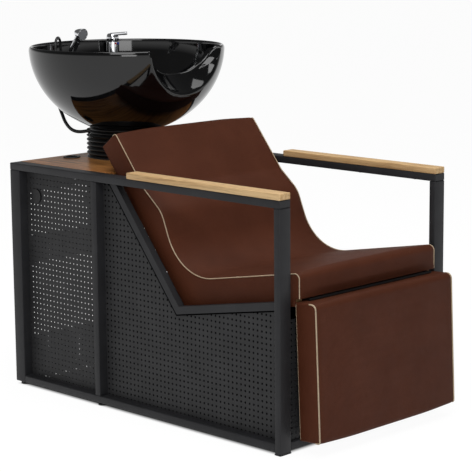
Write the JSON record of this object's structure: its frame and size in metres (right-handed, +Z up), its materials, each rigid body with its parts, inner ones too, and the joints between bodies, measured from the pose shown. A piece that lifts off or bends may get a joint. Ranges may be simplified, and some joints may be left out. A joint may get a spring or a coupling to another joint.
{
  "type": "salon backwash unit",
  "caption": "Shampoo chair with a tilting black bowl on ribbed bellows, reclined leather seat, oak armrests, hinged leg rest and a perforated steel cabinet frame.",
  "frame": {"origin": "centre of the overall box in plan, on the floor", "axes": "+Z up, the sitter faces -Y and the bowl is at +Y, +X to the sitter's left-hand side seen from the front as right"},
  "size_m": [0.646, 1.2724, 1.0084],
  "materials": {
    "powder_coated_steel": "satin",
    "perforated_sheet": "satin",
    "black_plastic": "matte",
    "black_rubber": "matte",
    "top_board": "satin",
    "oak": "satin",
    "plywood": "matte",
    "upholstery": "satin",
    "zinc_steel": "satin",
    "bowl_glaze": "gloss",
    "chrome": "polished",
    "spray_face": "satin",
    "tap_index": "gloss",
    "brass_fitting": "satin"
  },
  "bodies": {
    "frame": {"front_leg_left": "powder_coated_steel", "front_leg_right": "powder_coated_steel", "rear_leg_left": "powder_coated_steel", "rear_leg_right": "powder_coated_steel", "middle_uprights": "powder_coated_steel", "arm_rail_left": "powder_coated_steel", "arm_rail_right": "powder_coated_steel", "side_base_rails": "powder_coated_steel", "cross_base_rails": "powder_coated_steel", "middle_top_rail": "powder_coated_steel", "rear_top_rail": "powder_coated_steel", "seat_rails": "powder_coated_steel", "back_rails": "powder_coated_steel", "board_brackets": "powder_coated_steel", "tilt_base": "powder_coated_steel", "front_side_panel_left": "perforated_sheet", "front_side_panel_right": "perforated_sheet", "rear_side_panel_left": "perforated_sheet", "rear_side_panel_right": "perforated_sheet", "front_panel": "perforated_sheet", "back_panel": "perforated_sheet", "tube_plugs_and_glides": "black_plastic", "levelling_feet": "black_plastic", "panel_cap": "black_plastic", "hose_grommet": "black_plastic", "waste_trap": "black_plastic", "waste_outlet": "black_plastic", "bellows": "black_rubber", "waste_hose": "black_rubber", "wood_top": "top_board", "armrest_left": "oak", "armrest_right": "oak", "seat_board": "plywood", "back_board": "plywood", "seat_back_pad": "upholstery", "wood_screws": "zinc_steel", "tilt_pins": "zinc_steel", "leg_hinge_pin": "zinc_steel", "leg_hinge_fixed_leaf": "zinc_steel", "water_inlets": "brass_fitting"},
    "bowl": {"bowl": "bowl_glaze", "drain_strainer": "chrome", "waste_tail": "black_plastic", "tilt_yoke": "powder_coated_steel", "yoke_bolts": "zinc_steel", "bellows_collar": "black_plastic", "shower_holder": "chrome", "shower_hose": "black_rubber", "arch_hose": "black_rubber", "arch_glands": "black_plastic", "mixer_body": "chrome", "mixer_index": "tap_index"},
    "mixer_cap": {"mixer_cap": "chrome"},
    "mixer_lever": {"mixer_lever": "chrome"},
    "hand_shower": {"shower_handle": "chrome", "shower_head": "chrome", "shower_face": "spray_face"},
    "leg_rest": {"leg_rest_pad": "upholstery", "leg_rest_board": "plywood", "leg_hinge_moving_leaf": "zinc_steel"}
  },
  "joints": [
    {"name": "bowl_tilt", "type": "hinge", "parent": "frame", "child": "bowl", "pos_m": [0, 0.36624, 0.678], "axis": [1, 0, 0], "range_deg": [-12, 10], "deforming": ["bellows", "waste_hose"]},
    {"name": "mixer_swivel", "type": "hinge", "parent": "bowl", "child": "mixer_cap", "pos_m": [0.121, 0.55324, 0.972], "axis": [0, 0, 1], "range_deg": [-45, 45]},
    {"name": "lever_lift", "type": "hinge", "parent": "mixer_cap", "child": "mixer_lever", "pos_m": [0.121, 0.55324, 0.98], "axis": [-1, 0, 0], "range_deg": [0, 25]},
    {"name": "shower_lift", "type": "slide", "parent": "bowl", "child": "hand_shower", "axis": [0, -0.6157, 0.788], "range_m": [0, 0.1], "deforming": ["shower_hose"]},
    {"name": "leg_rest_lift", "type": "hinge", "parent": "frame", "child": "leg_rest", "pos_m": [0, -0.56876, 0.388], "axis": [-1, 0, 0], "range_deg": [0, 80]}
  ]
}
